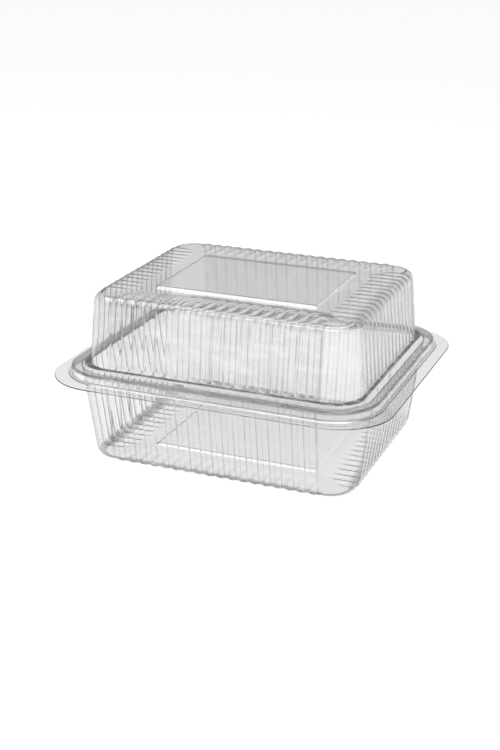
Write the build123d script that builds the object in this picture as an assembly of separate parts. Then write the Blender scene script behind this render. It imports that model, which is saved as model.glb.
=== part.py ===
"""Clear ribbed cheese container: a thermoformed tray with a press-on domed lid.

Millimetres, +Z up. The origin is the centre of the bottom face of the whole box.
"""
import os
from math import cos, pi, radians, sin, tan

from build123d import *

# Plastic sheet and fits
sheet = 0.5  # thickness of the formed sheet
snap_gap = 0.3  # clearance between the tray's rim and the lid's rim that presses over it

# Tray body, outline taken where floor and wall would meet without their rounding
tray_width = 150.5
tray_depth = 125.0
tray_corner = 15.0
tray_draft = 8.0  # degrees that the wall leans out
tray_edge_radius = 5.0
flange_height = 48.5  # top face of the tray's flange

# Tray rim, measured outwards from the wall's top
shoulder_width = 3.5
shoulder_rise = 4.2  # above the flange
shoulder_corner = 24.2
flange_width = 8.9
flange_corner = 30.0

# Lid body, outline taken where top and wall would meet without their rounding
lid_width = 148.3
lid_depth = 122.8
lid_corner = 14.0
lid_draft = 5.0
lid_edge_radius = 5.0
lid_height = 93.2  # the ribbed border of the top, above the table

# Lid rim
ledge_width = 1.4  # flat strip round the foot of the lid's wall
ledge_corner = 14.0
ledge_rise = 1.0
lip_width = 1.7  # small lip that lies on the tray's flange

# Ribs: V grooves at an even pitch leave a row of flat-topped ribs
rib_pitch = 6.5
groove_width = 2.4
groove_depth = 0.55
groove_run = 21.2  # how far in from the outline the grooves reach on floor and top
groove_fade = 1.5  # length over which a groove's inner end comes up
groove_margin = 0.2  # least plain strip between the last groove of a side and the corner
mitre_inset = 3.5  # grooves this near the corner of the ribbed border stop short of it

# Rectangular panel in the middle of floor and top
panel_inset = 27.7
panel_step = 0.8
panel_slope = 0.6  # plan width of the step

# Flat strips that make up a rounded edge and a corner of a cup
edge_strips = 2
corner_strips = 6


def place(turn, along, out, z):
    """Point seen from one of the four sides: 0 front, 1 right, 2 back, 3 left."""
    x, y = [(along, -out), (out, along), (-along, out), (-out, -along)][turn]
    return Vector(x, y, z)


def flat(*points):
    """Flat face through its corner points."""
    return Face(Wire.make_polygon(points, close=True))


def bent(a, b, c, d):
    """Four points that don't lie in one plane, as two flat faces that share a diagonal."""
    return [flat(a, b, c), flat(a, c, d)]


class Outline:
    """Rounded rectangle, known by its half sizes and corner radius."""

    def __init__(self, half_x, half_y, radius):
        self.half_x = half_x
        self.half_y = half_y
        self.radius = radius
        self.out = [half_y, half_x, half_y, half_x]
        self.straight = [half_x - radius, half_y - radius, half_x - radius, half_y - radius]

    def grown(self, offset):
        return Outline(self.half_x + offset, self.half_y + offset, self.radius + offset)

    def with_radius(self, radius):
        """The same size with another corner radius, 0 for sharp corners."""
        return Outline(self.half_x, self.half_y, radius)

    def wire(self, z):
        size = 2 * self.half_x, 2 * self.half_y
        shape = RectangleRounded(*size, self.radius) if self.radius else Rectangle(*size)
        return (Pos(0, 0, z) * shape).face().outer_wire()


def frame(first, second, z):
    """Flat face between two outlines on one level."""
    outer, inner = (first, second) if first.half_x > second.half_x else (second, first)
    return Face(outer.wire(z), [inner.wire(z)])


def step(first, first_z, second, second_z):
    """Faces between two outlines on different levels."""
    walls = Solid.make_loft([first.wire(first_z), second.wire(second_z)], ruled=True)
    return [face for face in walls.faces() if face.bounding_box().size.Z > 1e-6]


def rim_faces(stations):
    """Faces of a rim from outline to outline, each with its height."""
    faces = []
    for (first, first_z), (second, second_z) in zip(stations, stations[1:]):
        if first_z == second_z:
            faces.append(frame(first, second, first_z))
        else:
            faces += step(first, first_z, second, second_z)
    return faces


class RibbedCup:
    """Open box with rounded edges and grooves that run down its walls and in over its closed end.

    It is made with the closed end down at z = 0. A depth counts inwards from the outer skin.
    A fibre is one line of the skin, from its inner end on the closed end to the wall's top.
    """

    def __init__(self, width, depth, corner, draft, edge_radius, panel_rise):
        self.outline = Outline(width / 2, depth / 2, corner)
        self.draft = radians(draft)
        self.edge_radius = edge_radius
        self.panel_rise = panel_rise

    def wall_offset(self, depth, z):
        """Plan distance of the wall from the outline, at a height."""
        return z * tan(self.draft) - depth / cos(self.draft)

    def profile(self, depth, top):
        """Plan offset and height along a fibre, from the start of the rounded edge to the top."""
        centre = -self.edge_radius * (1 - sin(self.draft)) / cos(self.draft)
        radius = self.edge_radius - depth
        stations = []
        for strip in range(edge_strips + 1):
            angle = (pi / 2 - self.draft) * strip / edge_strips
            stations.append((centre + radius * sin(angle), self.edge_radius - radius * cos(angle)))
        stations.append((self.wall_offset(depth, top), top))
        return stations

    def groove_end(self, turn, along):
        """Where a fibre of a side ends on the closed end: further out near the corners."""
        nearness = abs(along) - (self.outline.out[turn - 1] - groove_run - mitre_inset)
        return self.outline.out[turn] - groove_run + max(0.0, nearness)

    def side_fibre(self, turn, along, depth, fade, top):
        end = self.groove_end(turn, along) + fade
        points = [place(turn, along, end, depth)]
        for offset, z in self.profile(depth, top):
            points.append(place(turn, along, self.outline.out[turn] + offset, z))
        return points

    def side_fibres(self, turn, skin, top):
        """Fibres of one side, as pairs: whether it is the bottom of a groove, and its points."""
        straight = self.outline.straight[turn]
        spaces = int((2 * (straight - groove_margin) - groove_width) / rib_pitch)
        fibres = [(False, self.side_fibre(turn, -straight, skin, 0, top))]
        for number in range(spaces + 1):
            middle = (number - spaces / 2) * rib_pitch
            for along, deep in [
                (middle - groove_width / 2, False),
                (middle, True),
                (middle + groove_width / 2, False),
            ]:
                depth, fade = (skin + groove_depth, groove_fade) if deep else (skin, 0)
                fibres.append((deep, self.side_fibre(turn, along, depth, fade, top)))
        return fibres + [(False, self.side_fibre(turn, straight, skin, 0, top))]

    def corner_fibres(self, turn, last, following, skin, top):
        """Fibres round the plain corner between the last one of a side and the next side's first."""
        fibres = []
        for strip in range(1, corner_strips):
            share = strip / corner_strips
            angle = share * pi / 2
            points = [last[0] + (following[0] - last[0]) * share]
            for offset, z in self.profile(skin, top):
                radius = self.outline.radius + offset
                along = self.outline.straight[turn] + radius * sin(angle)
                out = self.outline.out[turn] + offset - radius * (1 - cos(angle))
                points.append(place(turn, along, out, z))
            fibres.append((False, points))
        return fibres

    def fibres(self, skin, top):
        """All fibres of one skin, once round the cup."""
        sides = [self.side_fibres(turn, skin, top) for turn in range(4)]
        fibres = []
        for turn, side in enumerate(sides):
            following = sides[(turn + 1) % 4][0][1]
            fibres += side + self.corner_fibres(turn, side[-1][1], following, skin, top)
        return fibres

    def skin_faces(self, skin, top):
        """Faces of one skin, and the wire that ends them at the wall's top."""
        fibres = self.fibres(skin, top)
        faces = []
        for number, (deep, points) in enumerate(fibres):
            next_deep, next_points = fibres[(number + 1) % len(fibres)]
            for k in range(len(points) - 1):
                quad = (points[k], next_points[k], next_points[k + 1], points[k + 1])
                twisted = deep != next_deep and 1 <= k <= edge_strips
                faces += bent(*quad) if twisted else [flat(*quad)]
            if deep:
                faces.append(flat(fibres[number - 1][1][0], next_points[0], points[0]))
        border = [points[0] for deep, points in fibres if not deep]
        foot = self.outline.grown(-panel_inset).with_radius(0)
        panel = foot.grown(-panel_slope).with_radius(0)
        panel_height = skin + self.panel_rise
        faces.append(Face(Wire.make_polygon(border, close=True), [foot.wire(skin)]))
        faces += step(foot, skin, panel, panel_height)
        faces.append(Face(panel.wire(panel_height)))
        return faces, Wire.make_polygon([points[-1] for _, points in fibres], close=True)

    def with_rim(self, stations):
        """Solid of the whole sheet: outer skin, rim from outside to inside, inner skin."""
        (first, outer_top), (last, inner_top) = stations[0], stations[-1]
        outer_faces, outer_wire = self.skin_faces(0.0, outer_top)
        inner_faces, inner_wire = self.skin_faces(sheet, inner_top)
        edges = [Face(first.wire(outer_top), [outer_wire]), Face(last.wire(inner_top), [inner_wire])]
        return Solid(Shell([*outer_faces, *edges, *rim_faces(stations), *inner_faces]))


# The tray's cup, and the rim places that tray and lid share
tray_cup = RibbedCup(tray_width, tray_depth, tray_corner, tray_draft, tray_edge_radius, panel_step)
shoulder_top = flange_height + shoulder_rise
tray_wall_top = tray_cup.outline.grown(tray_cup.wall_offset(0.0, shoulder_top))
shoulder_edge = tray_wall_top.grown(shoulder_width).with_radius(shoulder_corner)


def make_tray():
    """Ribbed tray: the wall turns over into a raised shoulder and a flat flange."""
    channel = shoulder_edge.grown(-sheet)
    flange = shoulder_edge.grown(flange_width).with_radius(flange_corner)
    return tray_cup.with_rim([
        (channel, shoulder_top - sheet),
        (channel, flange_height - sheet),
        (flange, flange_height - sheet),
        (flange, flange_height),
        (shoulder_edge, flange_height),
        (shoulder_edge, shoulder_top),
    ])


def make_lid():
    """Ribbed dome: a ledge, a shoulder that presses over the tray's, and a lip on its flange."""
    cup = RibbedCup(lid_width, lid_depth, lid_corner, lid_draft, lid_edge_radius, -panel_step)
    # Heights here count down from the ribbed border of the lid's top
    lip = lid_height - flange_height - sheet
    bead = lid_height - shoulder_top - snap_gap - sheet
    ledge = bead - ledge_rise
    ledge_edge = cup.outline.grown(cup.wall_offset(0.0, ledge) + ledge_width).with_radius(ledge_corner)
    ledge_inside = ledge_edge.grown(-sheet)
    bead_inside = shoulder_edge.grown(snap_gap)
    bead_edge = bead_inside.grown(sheet)
    lip_edge = bead_edge.grown(lip_width)
    upside_down = cup.with_rim([
        (ledge_edge, ledge),
        (ledge_edge, bead),
        (bead_edge, bead),
        (bead_edge, lip),
        (lip_edge, lip),
        (lip_edge, lip + sheet),
        (bead_inside, lip + sheet),
        (bead_inside, bead + sheet),
        (ledge_inside, bead + sheet),
        (ledge_inside, ledge + sheet),
    ])
    return Pos(0, 0, lid_height) * Rot(180, 0, 0) * upside_down


os.makedirs("parts", exist_ok=True)
for name, solid in {"tray": make_tray(), "lid": make_lid()}.items():
    export_step(solid, f"parts/{name}.step")
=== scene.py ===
"""Clear ribbed food container: smooth formed sheets, clear plastic, white studio and camera.

Shapes are worked out in millimetres, each cup with its closed end down at z = 0.
"""

from math import cos, pi, radians, sin, tan

import bpy
import numpy as np
from mathutils import Matrix, Vector


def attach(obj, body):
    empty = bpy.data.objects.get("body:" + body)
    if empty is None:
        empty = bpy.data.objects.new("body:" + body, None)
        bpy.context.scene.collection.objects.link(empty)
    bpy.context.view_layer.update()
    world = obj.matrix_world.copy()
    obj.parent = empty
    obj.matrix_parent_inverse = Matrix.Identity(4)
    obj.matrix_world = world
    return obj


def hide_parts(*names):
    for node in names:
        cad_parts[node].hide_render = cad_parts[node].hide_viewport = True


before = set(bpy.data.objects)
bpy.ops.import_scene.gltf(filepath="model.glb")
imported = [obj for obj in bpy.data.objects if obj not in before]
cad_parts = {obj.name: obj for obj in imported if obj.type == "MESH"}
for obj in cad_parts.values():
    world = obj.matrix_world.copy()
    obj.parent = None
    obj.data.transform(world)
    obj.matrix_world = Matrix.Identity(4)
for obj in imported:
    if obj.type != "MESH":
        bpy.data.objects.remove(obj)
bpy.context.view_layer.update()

MM = 0.001

# Sheet and ribs, as in the solids
SHEET = 0.5
HALF_SHEET = SHEET / 2
RIB_HEIGHT = 0.55
INSIDE_RIB_HEIGHT = 0.53  # the sheet's inner skin follows the ribs less than its outer skin
RIB_PITCH = 6.5
GROOVE_WIDTH = 2.4
GROOVE_MARGIN = 0.2
RIB_RUN = 21.2
MITRE_INSET = 3.5
RIB_TIP = 6.5  # length of the rounded inner end of a rib
RIB_FOOT = 3.2  # length over which a rib runs out below the rim

# Panel in the middle of floor and top
PANEL_INSET = 27.7
PANEL_CORNER = 2.0
PANEL_MITRE = 0.75  # stretch of the panel's side, before its corner, where the fibres of the mitre end
PANEL_SLOPE = 1.2
PANEL_FOLDS = (0.5, 0.5)  # radii at the top and the foot of the panel's step
TRAY_PANEL_RISE = 1.1  # from the plain strip between the ribs and the panel
LID_PANEL_RISE = 1.35

# Tray
TRAY_SIZE = (150.5, 125.0)
TRAY_CORNER = 15.0
TRAY_DRAFT = 8.0
TRAY_EDGE = 5.0
FLANGE_HEIGHT = 48.5
SHOULDER_WIDTH = 3.5
SHOULDER_RISE = 4.2
SHOULDER_TOP = FLANGE_HEIGHT + SHOULDER_RISE
SHOULDER_CORNER = 24.2
FLANGE_WIDTH = 8.9
FLANGE_CORNER = 30.0

# Lid
LID_SIZE = (148.3, 122.8)
LID_CORNER = 14.0
LID_DRAFT = 5.0
LID_EDGE = 5.0
LID_HEIGHT = 93.2
LEDGE_WIDTH = 1.4
LEDGE_CORNER = 14.0
LEDGE_RISE = 1.0
SNAP_GAP = 0.3
LIP_WIDTH = 1.7
LIP_CLEARANCE = 0.06  # air between the lid's lip and the tray's flange

# Strength of the painted shade in the sheet, from 0 to 1: dark lines and tints in place of the darkness
# that refraction and reflection give the clear plastic
BORDER_LINES = 0.09  # along the ribs of floor and top
EDGE_LINES = 0.36  # where the ribs turn over the rounded edge
WALL_LINES = 0.27
CREST_LINE = 0.6  # of the finer line on a rib's crest, beside the one in the valley
EDGE_SHADE_SPOTS = 0.25  # painted shade on each rib's crest where it turns over the edge
RIM_BAND_WIDTH = 9.0
# Painted shade over whole stretches of each cup, in place of reflection and refraction darkness: the tray's
# dark bottom edge, the lid's darker walls, both rims
TRAY_PAINTED_SHADE = {"panel": 0.03, "border": 0.0, "edge": 0.48, "wall": 0.0, "rim": 0.08}
LID_PAINTED_SHADE = {"panel": 0.0, "border": 0.0, "edge": 0.03, "wall": 0.15, "rim": 0.15}
EDGE_BAND_END = 0.85  # share of the rounded edge over which the painted shade along it fades out

# Folds of the rims from the wall outwards: radius, and how strong the painted shade on the sheet is before,
# in and after it, in place of the dark lines that refraction gives at the folds
TRAY_FOLDS = (
    (0.9, 0.08, 0.12, 0.0),
    (0.9, 0.0, 0.15, 0.0),
    (0.9, 0.0, 0.3, 0.0),
)
LID_FOLDS = (
    (0.8, 0.1, 0.85, 0.75),
    (0.45, 0.75, 0.3, 0.08),
    (0.45, 0.08, 0.08, 0.0),
    (0.9, 0.0, 0.4, 0.0),
    (0.6, 0.0, 0.2, 0.0),
)

# Haze of the sheet, as roughness
PANEL_HAZE = 0.08
BORDER_HAZE = 0.03

# Plastic. Colours are linear. A rib's width counts from 0 on its crest to 1 in its valley.
PLASTIC_IOR = 1.52
CLEAR_TINT = (0.965, 0.97, 0.972, 1)
# Colour of the painted shade: dark lines and tints that stand in for the darkness from refraction and
# reflection
PAINTED_SHADE_COLOUR = (0.06, 0.062, 0.066, 1)
SHADOW_TINT = (0.93, 0.93, 0.93, 1)
WAVE_NOISE = (70.0, 2.0)  # scale and detail
WAVE_STRENGTH = 0.1
WAVE_HEIGHT = 0.0004
VALLEY_LINE_SPAN = (0.8, 1.0)
CREST_LINE_SPAN = (0.12, 0.0)
LINE_NOISE = (60.0, 1.0)
LINE_NOISE_SPAN = (0.2, 0.6)
FOLD_NOISE = (260.0, 3.0)
FOLD_NOISE_STRETCH = (0.35, 1.0, 1.0)
FOLD_NOISE_SPAN = (0.05, 0.6)
NOISE_PEAK = 1.2  # strength of the painted shade where the noise is strongest

# Table and background
FLOOR_GLOW = 0.93  # of the white table as the camera sees it, also through the plastic
MIRRORED_GLOW = 0.12  # of the table as the plastic reflects it
FLOOR_LIT_COLOUR = (0.12, 0.12, 0.12, 1)  # what takes the lamp's light and the shadow, on top of the glow
FLOOR_PLAIN_COLOUR = (0.8, 0.8, 0.8, 1)  # as diffuse rays find it
FLOOR_HALF_SIZE = 6.0  # metres
FLOOR_DROP = 0.0003  # metres of air under the tray, so that floor and plastic don't share a face
HORIZON_COLOUR = (0.4, 0.4, 0.4, 1)
OVERHEAD_COLOUR = (0.2, 0.2, 0.2, 1)
HORIZON_HEIGHT = 0.2  # where the colour overhead is reached, as the height of a direction

# Lamp, metres and watts
LAMP_PLACE = (-0.15, 0.0, 0.95)
LAMP_TARGET = (-0.15, 0, 0)
LAMP_SIZE = (1.3, 1.1)
LAMP_POWER = 14.0

# Camera, fitted to the photograph's rim, walls and ribs: degrees, pixels and millimetres
AZIMUTH, ELEVATION, ROLL = 22.10, 21.02, 0.19
FOCAL_PIXELS = 1338.9
LONG_SIDE_PIXELS = 750
CAMERA_DISTANCE = 766.4
CAMERA_RIGHT, CAMERA_UP = -4.05, 34.94
SENSOR_WIDTH = 36.0
CLIP_RANGE = (0.05, 50.0)  # metres

# Bounces of the render, enough for all the skins behind one another
PASSING_BOUNCES = 48
MIRRORING_BOUNCES = 12
TRANSPARENT_BOUNCES = 64

# Fineness of the meshes. Shares count along each stretch.
RIB_SHARES = (-1.0, -0.9, -0.7, -0.4, 0.0, 0.4, 0.7, 0.9)  # across a rib, from valley to valley
PANEL_SHARES = (0.02, 0.3, 0.6)  # from the panel's middle to its side
PANEL_LAST_SHARE = 0.9
STRIP_SHARE = 0.4  # from the panel's foot to the ribs' inner ends
TIP_SHARES = (1.0, 0.92, 0.8, 0.65, 0.5, 0.3, 0.1)  # of a rib's tip that is still to come
BORDER_SHARES = (0.25, 0.6)  # from a rib's tip to the rounded edge
WALL_SHARES = (0.12, 0.35, 0.6, 0.85)
RUN_OUT_SHARES = (0.0, 0.25, 0.5, 0.75, 0.9)
CUT_EDGE_ANGLES = (pi / 4, pi / 2, 3 * pi / 4)
CORNER_STEPS = 12
EDGE_STEPS = 9
FOLD_STEPS = 4
FOLD_REACH = 0.44  # most of a stretch that the fold at one of its ends may take
SUPPORT = 0.25  # distance of the row that keeps a flat stretch flat beside a fold
SUPPORT_SHARE = 0.05  # most of a stretch that this distance may take
LEAST_LENGTH = 1e-12  # keeps a normal of no length from being divided by zero


# Outlines and fibres

class Outline:
    """Rounded rectangle, known by its half sizes and corner radius."""

    def __init__(self, half_x, half_y, radius):
        self.half_x = half_x
        self.half_y = half_y
        self.radius = radius
        self.half = (half_y, half_x, half_y, half_x)
        self.straight = (half_x - radius, half_y - radius, half_x - radius, half_y - radius)

    def grown(self, offset, radius=None):
        new_radius = self.radius + offset if radius is None else radius
        return Outline(self.half_x + offset, self.half_y + offset, new_radius)

    def point(self, turn, share, angle):
        """Place on the outline: share runs from -1 to 1 along a side, angle round the corner after it."""
        if angle is None:
            along, out = share * self.straight[turn], self.half[turn]
        else:
            along = self.straight[turn] + self.radius * sin(angle)
            out = self.half[turn] - self.radius * (1 - cos(angle))
        return turned(turn, along, out)


def turned(turn, along, out):
    """Plan point seen from one of the four sides: 0 front, 1 right, 2 back, 3 left."""
    return ((along, -out), (out, along), (-along, out), (-out, -along))[turn]


class Fibre:
    """One line of the sheet, from the closed end's plain strip over the edge and up the wall."""

    def __init__(self, outline, turn, along, across=1.0, angle=None):
        self.outline = outline
        self.turn = turn
        self.along = along
        self.share = along / outline.straight[turn]
        self.angle = angle
        self.across = across  # 0 on the crest of a rib, 1 in the valley beside it
        self.is_rib = angle is None and abs(self.share) < 1
        self.end = rib_end(outline, turn, along)
        self.panel_share = panel_share(outline, turn, along)

    def plan(self, offset):
        """Plan point at an offset from the outline."""
        return self.outline.grown(offset).point(self.turn, self.share, self.angle)

    def inner_end(self):
        """Plan point where the plain strip inside the ribs begins."""
        if self.angle is None:
            return turned(self.turn, self.along, self.end)
        following = (self.turn + 1) % 4
        reach = self.outline.straight[following]
        before = np.array(turned(self.turn, self.along, self.end))
        after = np.array(turned(following, -reach, rib_end(self.outline, following, reach)))
        return before + (after - before) * self.angle / (pi / 2)


def mitre_start(outline, turn):
    """How far along a side its ribs keep their full length on the closed end."""
    return outline.half[turn - 1] - RIB_RUN - MITRE_INSET


def rib_end(outline, turn, along):
    """Plan distance of a rib's inner end from the middle: further out near the corners."""
    return outline.half[turn] - RIB_RUN + max(0.0, abs(along) - mitre_start(outline, turn))


def panel_share(outline, turn, along):
    """Share of the panel's side where a fibre meets it. Fibres of the mitre all end near its corner."""
    straight = outline.half[turn - 1] - PANEL_INSET - PANEL_CORNER
    plain = (straight - PANEL_MITRE) / straight
    start = mitre_start(outline, turn)
    if abs(along) <= start:
        return along / start * plain
    share = plain + (1 - plain) * (abs(along) - start) / (outline.straight[turn] - start)
    return share if along > 0 else -share


def side_fibres(outline, turn):
    straight = outline.straight[turn]
    ribs = int((2 * (straight - GROOVE_MARGIN) - GROOVE_WIDTH) / RIB_PITCH)
    fibres = [Fibre(outline, turn, -straight)]
    for number in range(ribs):
        middle = (number - (ribs - 1) / 2) * RIB_PITCH
        for across in RIB_SHARES:
            fibres.append(Fibre(outline, turn, middle + across * RIB_PITCH / 2, abs(across)))
    fibres.append(Fibre(outline, turn, ribs / 2 * RIB_PITCH))
    fibres.append(Fibre(outline, turn, straight))
    return fibres


def all_fibres(outline):
    fibres = []
    for turn in range(4):
        fibres += side_fibres(outline, turn)
        for step in range(1, CORNER_STEPS):
            fibres.append(Fibre(outline, turn, outline.straight[turn], angle=step / CORNER_STEPS * pi / 2))
    return fibres


def level(outline, fibres, z):
    """Points of all fibres on an outline at one height."""
    return np.array([(*outline.point(f.turn, f.share, f.angle), z) for f in fibres])


def panel_level(outline, fibres, z):
    """The same on an outline of the panel."""
    return np.array([(*outline.point(f.turn, f.panel_share, f.angle), z) for f in fibres])


# Folds

def fold(before, corner, after, radius):
    """Rows that round the corner of a path with an arc, and one row beside each end of it."""
    towards_before, towards_after = before - corner, after - corner
    length_before = np.linalg.norm(towards_before, axis=1, keepdims=True)
    length_after = np.linalg.norm(towards_after, axis=1, keepdims=True)
    towards_before = towards_before / length_before
    towards_after = towards_after / length_after
    between = np.arccos(np.clip((towards_before * towards_after).sum(1, keepdims=True), -1, 1))
    reach = radius / np.tan(between / 2)
    reach = np.minimum(reach, FOLD_REACH * np.minimum(length_before, length_after))
    beside_before = np.minimum(SUPPORT, SUPPORT_SHARE * length_before)
    beside_after = np.minimum(SUPPORT, SUPPORT_SHARE * length_after)
    start, stop = corner + towards_before * reach, corner + towards_after * reach
    weight = np.sin(between / 2)
    rows = [start + towards_before * beside_before]
    for step in range(FOLD_STEPS + 1):
        t = step / FOLD_STEPS
        share = 2 * weight * t * (1 - t)
        rows.append(((1 - t) ** 2 * start + share * corner + t * t * stop) / ((1 - t) ** 2 + share + t * t))
    return rows + [stop + towards_after * beside_after]


def folded(path, radii):
    """Rows of a path whose inner corners are rounded. The first and last points stay."""
    rows = [path[0]]
    for k, radius in enumerate(radii, start=1):
        rows += fold(path[k - 1], path[k], path[k + 1], radius)
    return rows + [path[-1]]


def cut_edge(path):
    """Row just before the sheet's cut edge, which keeps the flat beside it flat."""
    inward = path[-2] - path[-1]
    return path[-1] + inward * SUPPORT / np.linalg.norm(inward, axis=1, keepdims=True)


# Sheets

class Sheet:
    """Middle surface of a formed sheet, as rows of points with thickness, painted shade and haze."""

    def __init__(self, fibres):
        self.fibres = fibres
        self.rows = []
        self.thickness = []
        self.lines = []
        self.dark = []
        self.haze = []

    def add(self, points, thickness=SHEET, lines=0.0, dark=0.0, haze=0.0):
        """Row of points. Lines is the strength of the painted shade lines along its ribs, dark a painted
        shade all over.
        """
        count = len(self.fibres)
        self.rows.append(np.array(points, float))
        self.thickness.append(np.broadcast_to(np.asarray(thickness, float), (count,)))
        self.lines.append(np.where([f.is_rib for f in self.fibres], lines, 0.0))
        self.dark.append(np.broadcast_to(np.asarray(dark, float), (count,)))
        self.haze.append(haze)

    def skins(self):
        """Rows of the outer skin, the loops round the cut edge, and rows of the inner skin."""
        grid = np.array(self.rows)
        half = np.array(self.thickness)[:, :, None] / 2
        normals = surface_normals(grid)
        along = np.roll(grid[-1], -1, axis=0) - np.roll(grid[-1], 1, axis=0)
        outwards = np.cross(normals[-1], along)
        outwards /= np.linalg.norm(outwards, axis=1, keepdims=True)
        outwards *= np.sign((outwards * (grid[-1] - grid[-2])).sum(1, keepdims=True))
        round_edge = [
            grid[-1] + half[-1] * (normals[-1] * cos(angle) + outwards * sin(angle))
            for angle in CUT_EDGE_ANGLES
        ]
        return grid + normals * half, round_edge, grid - normals * half

    def build(self, name, flip):
        """Closed mesh of both skins, joined round the sheet's cut edge."""
        outer, round_edge, inner = self.skins()
        loops = [*outer, *round_edge, *inner[::-1]]
        points = np.concatenate([np.concatenate(loops), outer[:1].mean(1), inner[:1].mean(1)])
        if flip:
            points = points * (1, -1, -1) + (0, 0, LID_HEIGHT)
        mesh = bpy.data.meshes.new(name)
        mesh.from_pydata((points * MM).tolist(), [], loop_faces(len(loops), len(self.fibres)))
        mesh.validate()
        self.store_painted_shade(mesh)
        mesh.polygons.foreach_set("use_smooth", [True] * len(mesh.polygons))
        mesh.update()
        piece = bpy.data.objects.new(name, mesh)
        bpy.context.scene.collection.objects.link(piece)
        return piece

    def store_painted_shade(self, mesh):
        """Attributes for the material: across, painted shade lines and painted shade all over as one
        vector, and haze.
        """
        across = np.broadcast_to([f.across for f in self.fibres], np.shape(self.lines))
        painted_shade_marks = np.stack([across, np.array(self.lines), np.array(self.dark)], axis=2)
        values = np.concatenate([*on_both_skins(painted_shade_marks), painted_shade_marks[0, :1], painted_shade_marks[0, :1]]).astype(np.float32)
        mesh.attributes.new("painted_shade_marks", "FLOAT_VECTOR", "POINT").data.foreach_set("vector", values.ravel())
        haze = np.repeat(on_both_skins(self.haze), len(self.fibres))
        values = np.append(haze, [self.haze[0]] * 2).astype(np.float32)
        mesh.attributes.new("haze", "FLOAT", "POINT").data.foreach_set("value", values)


def surface_normals(grid):
    round_way = np.roll(grid, -1, axis=1) - np.roll(grid, 1, axis=1)
    up_way = np.gradient(grid, axis=0)
    normals = np.cross(round_way, up_way)
    lengths = np.linalg.norm(normals, axis=2, keepdims=True)
    return normals / np.maximum(lengths, LEAST_LENGTH)


def on_both_skins(rows):
    """Values of a sheet's rows, for its outer skin, the loops round its cut edge and its inner skin."""
    return [*rows, *[rows[-1]] * len(CUT_EDGE_ANGLES), *rows[::-1]]


def loop_faces(loop_count, count):
    """Faces between closed loops of points, and caps on the first and the last loop.

    The middle points of the two caps come after all loops.
    """
    faces = []
    for r in range(loop_count - 1):
        for i in range(count):
            j = (i + 1) % count
            faces.append((r * count + i, r * count + j, (r + 1) * count + j, (r + 1) * count + i))
    first_middle, last_middle = loop_count * count, loop_count * count + 1
    last_loop = (loop_count - 1) * count
    for i in range(count):
        j = (i + 1) % count
        faces.append((first_middle, j, i))
        faces.append((last_middle, last_loop + i, last_loop + j))
    return faces


def rib_section(valley):
    """Depth of the sheet's middle below the ribs' crests, and its thickness, for 0 crest to 1 valley."""
    depth = HALF_SHEET + valley * (RIB_HEIGHT + INSIDE_RIB_HEIGHT) / 2
    return depth, SHEET - valley * (RIB_HEIGHT - INSIDE_RIB_HEIGHT)


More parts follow.
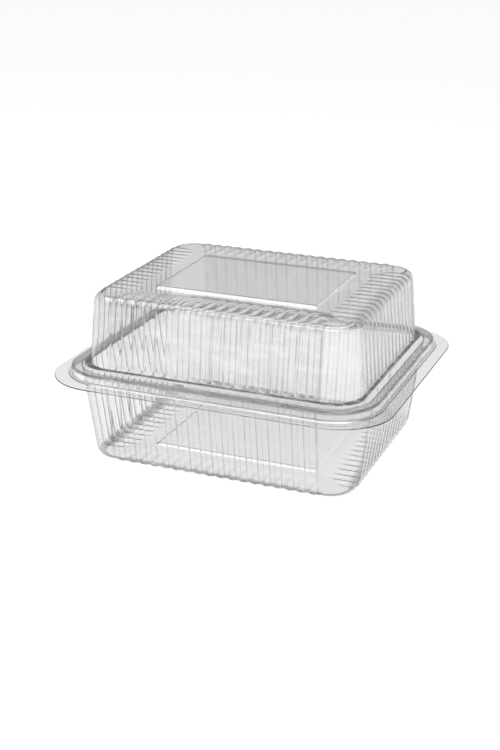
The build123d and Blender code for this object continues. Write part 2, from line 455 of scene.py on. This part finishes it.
class RibbedCup:
    """Ribbed sheet from the panel's middle to the wall's top, closed end down at z = 0."""

    def __init__(self, size, corner, draft, edge, panel_rise, wall_top, painted_shades):
        self.outline = Outline(size[0] / 2, size[1] / 2, corner)
        self.lean = radians(draft)
        self.edge = edge
        self.edge_centre = -edge * (1 - sin(self.lean)) / cos(self.lean)  # plan offset of its arc's middle
        self.wall_top = wall_top
        self.painted_shades = painted_shades
        self.fibres = all_fibres(self.outline)
        self.is_rib = np.array([f.is_rib for f in self.fibres])
        self.across = np.array([f.across for f in self.fibres])
        self.sharp_valley = self.across ** 2
        self.soft_valley = (1 - np.cos(pi * self.across)) / 2
        self.plain_depth, self.plain_sheet = rib_section(1.0)
        self.rib_ends = np.array([(*f.inner_end(), self.plain_depth) for f in self.fibres])
        self.sheet = Sheet(self.fibres)
        self.add_panel(panel_rise)
        self.add_border()
        self.add_edge()
        self.add_wall()

    def painted_shade_tint(self, place):
        """Painted shade of a place, half as strong on the plain corners."""
        return np.where(self.is_rib, self.painted_shades[place], self.painted_shades[place] / 2)

    def wall_points(self, depths, z):
        offsets = [z * tan(self.lean) - depth / cos(self.lean) for depth in depths]
        return np.array([(*f.plan(offset), z) for f, offset in zip(self.fibres, offsets)])

    def add_panel(self, rise):
        """Panel, its step and the plain strip round it."""
        foot = self.outline.grown(-PANEL_INSET, PANEL_CORNER)
        top = foot.grown(-PANEL_SLOPE)
        foot_points = panel_level(foot, self.fibres, self.plain_depth)
        top_points = panel_level(top, self.fibres, self.plain_depth + rise)
        centre = np.array([0.0, 0.0, self.plain_depth + rise])
        flat_rows = [centre + (top_points - centre) * share for share in PANEL_SHARES]
        rows = folded([
            centre + (top_points - centre) * PANEL_LAST_SHARE,
            top_points,
            foot_points,
            foot_points + (self.rib_ends - foot_points) * STRIP_SHARE,
        ], PANEL_FOLDS)
        on_panel = len(rows) / 2 - 1
        hazes = [PANEL_HAZE if number < on_panel else BORDER_HAZE for number in range(len(rows))]
        for row, haze in zip(flat_rows + rows, [PANEL_HAZE] * len(flat_rows) + hazes):
            self.sheet.add(row, self.plain_sheet, 0.0, self.painted_shades["panel"], haze)

    def add_border(self):
        """Ribs of the closed end, from their rounded tips to where the edge's rounding starts."""
        starts = np.array([(*f.plan(self.edge_centre), 0.0) for f in self.fibres])
        reach = starts - self.rib_ends * (1, 1, 0)
        length = np.linalg.norm(reach, axis=1, keepdims=True)
        outwards = reach / length
        for share in TIP_SHARES:
            depth, thickness = rib_section(1 - (1 - self.soft_valley) * (1 - share ** 2) ** 2)
            points = self.rib_ends + outwards * (1 - share) * RIB_TIP
            points[:, 2] = depth
            lines = BORDER_LINES * (1 - share)
            self.sheet.add(points, thickness, lines, self.painted_shades["border"], BORDER_HAZE)
        for share in BORDER_SHARES:
            points = self.rib_ends + outwards * (RIB_TIP + (length - RIB_TIP) * share)
            points[:, 2], thickness = rib_section(self.soft_valley)
            self.sheet.add(points, thickness, BORDER_LINES, self.painted_shades["border"], BORDER_HAZE)

    def add_edge(self):
        """Rounded edge. Its soft valleys turn sharp on the way, and the painted shade along it fades out.
        """
        # Painted shade spots on each rib's crest, strongest halfway round the edge
        spots = np.where(self.is_rib, (1 - self.across) ** 2, 0.0) * EDGE_SHADE_SPOTS
        change = self.sharp_valley - self.soft_valley
        for step in range(EDGE_STEPS + 1):
            angle = (pi / 2 - self.lean) * step / EDGE_STEPS
            rib_depth, thickness = rib_section(self.soft_valley + change * step / EDGE_STEPS)
            row = []
            for f, depth in zip(self.fibres, rib_depth):
                radius = self.edge - depth
                offset, z = self.edge_centre + radius * sin(angle), self.edge - radius * cos(angle)
                row.append((*f.plan(offset), z))
            turn_share = sin(pi * step / EDGE_STEPS)
            lines = WALL_LINES + (EDGE_LINES - WALL_LINES) * turn_share
            band = 1 - min(1.0, step / EDGE_STEPS / EDGE_BAND_END) ** 3
            dark = self.painted_shade_tint("wall") + spots * turn_share ** 2 + self.painted_shades["edge"] * band
            self.sheet.add(row, thickness, lines, dark)

    def add_wall(self):
        """Wall with sharp valleys, and the stretch below the rim where its ribs run out."""
        run_out = self.wall_top - RIB_FOOT
        rib_depth, thickness = rib_section(self.sharp_valley)
        for share in WALL_SHARES:
            z = self.edge + (run_out - self.edge) * share
            # Painted shade: the band below the rim's top takes the rim's stronger painted shade
            dark = self.painted_shade_tint("rim" if z > self.wall_top - RIM_BAND_WIDTH else "wall")
            self.sheet.add(self.wall_points(rib_depth, z), thickness, WALL_LINES, dark)
        for share in RUN_OUT_SHARES:
            depth = rib_depth + (self.plain_depth - rib_depth) * share ** 2 * (3 - 2 * share)
            points = self.wall_points(depth, run_out + RIB_FOOT * share)
            self.sheet.add(points, thickness, WALL_LINES * (1 - share), self.painted_shade_tint("rim"))

    def add_rim(self, stations, folds):
        """Rim from the wall's top through outlines, each with its height. Folds are as in TRAY_FOLDS."""
        wall_end = self.wall_points(np.full(len(self.fibres), self.plain_depth), self.wall_top)
        path = [self.sheet.rows[-1], wall_end]
        path += [level(outline, self.fibres, z) for outline, z in stations]
        rows = folded(path, [radius for radius, *_ in folds])
        # Painted shade of each fold, before, in and after its arc
        painted_shades = []
        for _, before, middle, after in folds:
            arc = [middle] * (FOLD_STEPS - 1)
            painted_shades += [before, (before + middle) / 2, *arc, (middle + after) / 2, after]
        for row, painted_shade_tint in zip(rows[1:-1], painted_shades):
            self.sheet.add(row, dark=painted_shade_tint)
        self.sheet.add(cut_edge(path))
        self.sheet.add(rows[-1])


# Pieces

def tray_shoulder():
    """Outline of the tray's shoulder, which the lid's presses over."""
    tray = Outline(TRAY_SIZE[0] / 2, TRAY_SIZE[1] / 2, TRAY_CORNER)
    wall = tray.grown(SHOULDER_TOP * tan(radians(TRAY_DRAFT)))
    return wall.grown(SHOULDER_WIDTH, SHOULDER_CORNER)


def make_tray():
    top, bottom = SHOULDER_TOP - HALF_SHEET, FLANGE_HEIGHT - HALF_SHEET
    cup = RibbedCup(TRAY_SIZE, TRAY_CORNER, TRAY_DRAFT, TRAY_EDGE, TRAY_PANEL_RISE, top, TRAY_PAINTED_SHADE)
    shoulder = tray_shoulder()
    edge = shoulder.grown(-HALF_SHEET)
    flange = shoulder.grown(FLANGE_WIDTH - HALF_SHEET, FLANGE_CORNER - HALF_SHEET)
    cup.add_rim([(edge, top), (edge, bottom), (flange, bottom)], TRAY_FOLDS)
    return cup.sheet.build("tray_sheet", False)


def make_lid():
    """Dome with a ledge, a shoulder over the tray's, and a lip. Heights count down from its top."""
    lip = LID_HEIGHT - FLANGE_HEIGHT - HALF_SHEET - LIP_CLEARANCE
    bead = LID_HEIGHT - FLANGE_HEIGHT - SHOULDER_RISE - SNAP_GAP - HALF_SHEET
    ledge = bead - LEDGE_RISE
    cup = RibbedCup(LID_SIZE, LID_CORNER, LID_DRAFT, LID_EDGE, -LID_PANEL_RISE, ledge, LID_PAINTED_SHADE)
    ledge_offset = (ledge - HALF_SHEET) * tan(radians(LID_DRAFT)) + LEDGE_WIDTH - HALF_SHEET
    ledge_edge = cup.outline.grown(ledge_offset, LEDGE_CORNER)
    shoulder = tray_shoulder()
    bead_edge = shoulder.grown(SNAP_GAP + HALF_SHEET)
    lip_edge = shoulder.grown(SNAP_GAP + SHEET + LIP_WIDTH - HALF_SHEET)
    stations = [
        (ledge_edge, ledge),
        (ledge_edge, bead),
        (bead_edge, bead),
        (bead_edge, lip),
        (lip_edge, lip),
    ]
    cup.add_rim(stations, LID_FOLDS)
    return cup.sheet.build("lid_sheet", True)


# Materials

def new_material(name):
    material = bpy.data.materials.new(name)
    material.use_nodes = True
    nodes = material.node_tree.nodes
    nodes.clear()
    return material, nodes, material.node_tree.links


def combined(nodes, links, operation, first, second):
    """One value from two, by the name of a Math node's operation."""
    node = nodes.new("ShaderNodeMath")
    node.operation = operation
    links.new(first, node.inputs[0])
    links.new(second, node.inputs[1])
    return node.outputs[0]


def smooth_step(nodes, links, value, start, stop, height):
    """Smooth rise from 0 to a height while the value goes from start to stop."""
    node = nodes.new("ShaderNodeMapRange")
    node.interpolation_type = "SMOOTHSTEP"
    node.inputs["From Min"].default_value = start
    node.inputs["From Max"].default_value = stop
    node.inputs["To Max"].default_value = height
    links.new(value, node.inputs["Value"])
    return node.outputs["Result"]


def noise(nodes, links, place, scale, detail):
    node = nodes.new("ShaderNodeTexNoise")
    node.inputs["Scale"].default_value = scale
    node.inputs["Detail"].default_value = detail
    links.new(place, node.inputs["Vector"])
    return node.outputs["Fac"]


def stored(nodes, name, output):
    """Attribute of the mesh, as a vector or a plain value."""
    node = nodes.new("ShaderNodeAttribute")
    node.attribute_name = name
    return node.outputs[output]


def painted_shade_strength(nodes, links, place):
    """Strength of the painted shade: uneven dark lines along its ribs, and blotchy dark over the places and
    folds given a painted shade.
    """
    split = nodes.new("ShaderNodeSeparateXYZ")
    links.new(stored(nodes, "painted_shade_marks", "Vector"), split.inputs[0])
    across, strength, dark = split.outputs
    valley = smooth_step(nodes, links, across, *VALLEY_LINE_SPAN, 1.0)
    crest = smooth_step(nodes, links, across, *CREST_LINE_SPAN, CREST_LINE)
    lines = combined(nodes, links, "MAXIMUM", valley, crest)
    lines = combined(nodes, links, "MULTIPLY", lines, strength)
    unevenness = noise(nodes, links, place, *LINE_NOISE)
    shade_line_variation = smooth_step(nodes, links, unevenness, *LINE_NOISE_SPAN, NOISE_PEAK)
    lines = combined(nodes, links, "MULTIPLY", lines, shade_line_variation)
    stretched = nodes.new("ShaderNodeVectorMath")
    stretched.operation = "MULTIPLY"
    stretched.inputs[1].default_value = FOLD_NOISE_STRETCH
    links.new(place, stretched.inputs[0])
    shade_blotches = noise(nodes, links, stretched.outputs["Vector"], *FOLD_NOISE)
    patchy_shade = smooth_step(nodes, links, shade_blotches, *FOLD_NOISE_SPAN, NOISE_PEAK)
    dark = combined(nodes, links, "MULTIPLY", dark, patchy_shade)
    return combined(nodes, links, "ADD", lines, dark)


def clear_plastic():
    """Clear formed sheet with faint waves, haze and painted shade. Light for the shadows passes straight.
    """
    material, nodes, links = new_material("clear_sheet")
    place = nodes.new("ShaderNodeTexCoord").outputs["Object"]
    shader = nodes.new("ShaderNodeBsdfPrincipled")
    shader.inputs["Transmission Weight"].default_value = 1.0
    shader.inputs["IOR"].default_value = PLASTIC_IOR
    links.new(stored(nodes, "haze", "Fac"), shader.inputs["Roughness"])
    bump = nodes.new("ShaderNodeBump")
    bump.inputs["Strength"].default_value = WAVE_STRENGTH
    bump.inputs["Distance"].default_value = WAVE_HEIGHT
    links.new(noise(nodes, links, place, *WAVE_NOISE), bump.inputs["Height"])
    links.new(bump.outputs["Normal"], shader.inputs["Normal"])
    # Painted shade: the clear colour darkened towards the painted shade colour by the painted shade's
    # strength
    painted_shade_tint = nodes.new("ShaderNodeMix")
    painted_shade_tint.data_type = "RGBA"
    painted_shade_tint.inputs["A"].default_value = CLEAR_TINT
    painted_shade_tint.inputs["B"].default_value = PAINTED_SHADE_COLOUR
    links.new(painted_shade_strength(nodes, links, place), painted_shade_tint.inputs["Factor"])
    links.new(painted_shade_tint.outputs["Result"], shader.inputs["Base Color"])
    shadow = nodes.new("ShaderNodeBsdfTransparent")
    shadow.inputs["Color"].default_value = SHADOW_TINT
    path = nodes.new("ShaderNodeLightPath")
    either = nodes.new("ShaderNodeMixShader")
    links.new(path.outputs["Is Shadow Ray"], either.inputs["Fac"])
    links.new(shader.outputs["BSDF"], either.inputs[1])
    links.new(shadow.outputs["BSDF"], either.inputs[2])
    output = nodes.new("ShaderNodeOutputMaterial")
    links.new(either.outputs["Shader"], output.inputs["Surface"])
    return material


def floor_material():
    """White table that keeps a faint shadow, and is darker where the plastic mirrors it."""
    material, nodes, links = new_material("white_floor")
    path = nodes.new("ShaderNodeLightPath")
    camera_ray, passed_ray = path.outputs["Is Camera Ray"], path.outputs["Is Transmission Ray"]
    through = combined(nodes, links, "MAXIMUM", camera_ray, passed_ray)
    strength = nodes.new("ShaderNodeMapRange")
    strength.inputs["To Min"].default_value = MIRRORED_GLOW
    strength.inputs["To Max"].default_value = FLOOR_GLOW
    links.new(through, strength.inputs["Value"])
    glow = nodes.new("ShaderNodeEmission")
    links.new(strength.outputs["Result"], glow.inputs["Strength"])
    lit = nodes.new("ShaderNodeBsdfDiffuse")
    lit.inputs["Color"].default_value = FLOOR_LIT_COLOUR
    both = nodes.new("ShaderNodeAddShader")
    links.new(glow.outputs[0], both.inputs[0])
    links.new(lit.outputs[0], both.inputs[1])
    plain = nodes.new("ShaderNodeBsdfDiffuse")
    plain.inputs["Color"].default_value = FLOOR_PLAIN_COLOUR
    seen = combined(nodes, links, "MAXIMUM", through, path.outputs["Is Glossy Ray"])
    either = nodes.new("ShaderNodeMixShader")
    links.new(seen, either.inputs["Fac"])
    links.new(plain.outputs[0], either.inputs[1])
    links.new(both.outputs[0], either.inputs[2])
    output = nodes.new("ShaderNodeOutputMaterial")
    links.new(either.outputs[0], output.inputs["Surface"])
    return material


# Studio

def make_world():
    """White for the camera. Other rays find it grey round the horizon and dimmer overhead."""
    world = bpy.data.worlds.new("studio")
    world.use_nodes = True
    bpy.context.scene.world = world
    nodes, links = world.node_tree.nodes, world.node_tree.links
    nodes.clear()
    place = nodes.new("ShaderNodeTexCoord")
    split = nodes.new("ShaderNodeSeparateXYZ")
    links.new(place.outputs["Generated"], split.inputs[0])
    ramp = nodes.new("ShaderNodeValToRGB")
    low_stop, high_stop = ramp.color_ramp.elements
    low_stop.position, low_stop.color = 0.0, HORIZON_COLOUR
    high_stop.position, high_stop.color = HORIZON_HEIGHT, OVERHEAD_COLOUR
    links.new(split.outputs["Z"], ramp.inputs["Fac"])
    path = nodes.new("ShaderNodeLightPath")
    mix = nodes.new("ShaderNodeMix")
    mix.data_type = "RGBA"
    mix.inputs["B"].default_value = (1, 1, 1, 1)
    links.new(path.outputs["Is Camera Ray"], mix.inputs["Factor"])
    links.new(ramp.outputs["Color"], mix.inputs["A"])
    background = nodes.new("ShaderNodeBackground")
    links.new(mix.outputs["Result"], background.inputs["Color"])
    output = nodes.new("ShaderNodeOutputWorld")
    links.new(background.outputs[0], output.inputs["Surface"])


def make_floor():
    half = FLOOR_HALF_SIZE
    mesh = bpy.data.meshes.new("floor")
    corners = [(x, y, -FLOOR_DROP) for x, y in ((-half, -half), (half, -half), (half, half), (-half, half))]
    mesh.from_pydata(corners, [], [(0, 1, 2, 3)])
    floor = bpy.data.objects.new("floor", mesh)
    bpy.context.scene.collection.objects.link(floor)
    mesh.materials.append(floor_material())


def make_lamp():
    light = bpy.data.lights.new("overhead", "AREA")
    light.shape = "RECTANGLE"
    light.size, light.size_y = LAMP_SIZE
    light.energy = LAMP_POWER
    lamp = bpy.data.objects.new("overhead", light)
    bpy.context.scene.collection.objects.link(lamp)
    lamp.location = LAMP_PLACE
    lamp.rotation_euler = (Vector(LAMP_TARGET) - Vector(LAMP_PLACE)).to_track_quat("-Z", "Y").to_euler()
    lamp.visible_camera = False


def make_camera():
    azimuth, elevation, roll = radians(AZIMUTH), radians(ELEVATION), radians(ROLL)
    back = Vector((sin(azimuth) * cos(elevation), -cos(azimuth) * cos(elevation), sin(elevation)))
    level_right = Vector((cos(azimuth), sin(azimuth), 0))
    level_up = back.cross(level_right)
    right = cos(roll) * level_right + sin(roll) * level_up
    up = cos(roll) * level_up - sin(roll) * level_right
    data = bpy.data.cameras.new("camera")
    data.sensor_width = SENSOR_WIDTH
    data.lens = data.sensor_width * FOCAL_PIXELS / LONG_SIDE_PIXELS
    data.clip_start, data.clip_end = CLIP_RANGE
    camera = bpy.data.objects.new("camera", data)
    bpy.context.scene.collection.objects.link(camera)
    place = (back * CAMERA_DISTANCE + right * CAMERA_RIGHT + up * CAMERA_UP) * MM
    turn = Matrix((right, up, back)).transposed().to_4x4()
    camera.matrix_world = Matrix.Translation(place) @ turn
    bpy.context.scene.camera = camera


def set_rendering():
    scene = bpy.context.scene
    scene.view_settings.view_transform = "Standard"
    scene.cycles.max_bounces = PASSING_BOUNCES
    scene.cycles.transmission_bounces = PASSING_BOUNCES
    scene.cycles.glossy_bounces = MIRRORING_BOUNCES
    scene.cycles.transparent_max_bounces = TRANSPARENT_BOUNCES
    scene.cycles.caustics_reflective = False
    scene.cycles.caustics_refractive = False


make_camera()
make_world()
make_floor()
make_lamp()

plastic = clear_plastic()
for piece, node in ((make_tray(), "tray"), (make_lid(), "lid")):
    piece.data.materials.append(plastic)
    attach(piece, node)
    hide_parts(node)

set_rendering()
